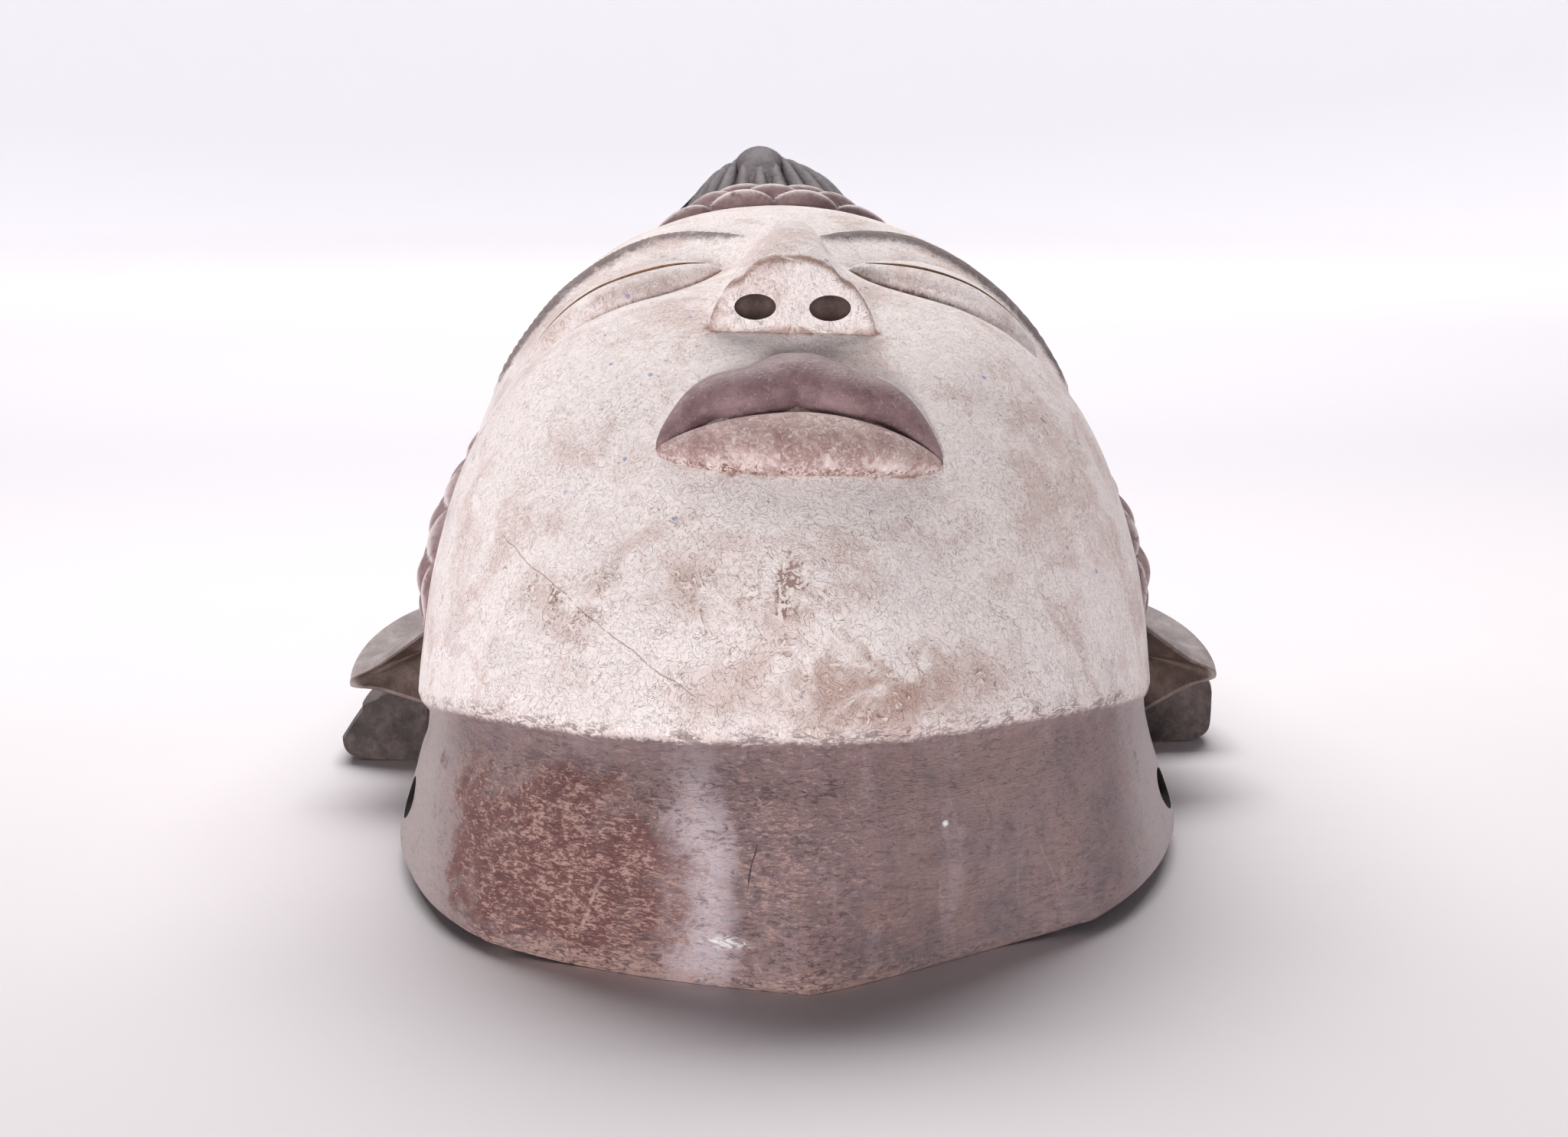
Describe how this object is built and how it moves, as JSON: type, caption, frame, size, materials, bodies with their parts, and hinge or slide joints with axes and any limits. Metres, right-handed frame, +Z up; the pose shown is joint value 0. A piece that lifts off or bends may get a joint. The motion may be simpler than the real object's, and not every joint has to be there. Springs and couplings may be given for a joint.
{
  "type": "punu mask",
  "caption": "Hollow carved wooden face mask with a whitened face, a plaited hairline band, a fluted crest, ears, side hair lobes and a dark collar, lying face up.",
  "frame": {"origin": "on the surface that the mask lies on, under the middle of its outline", "axes": "+X to the right of the picture, across the face; +Y from the chin to the crown; +Z up, the way the face looks"},
  "size_m": [0.2094, 0.2899, 0.1382],
  "materials": {
    "mask": "chalky white pigment on the face, dark brown polished wood on the collar and hair"
  },
  "bodies": {
    "root": {"mask": "mask"}
  },
  "joints": []
}
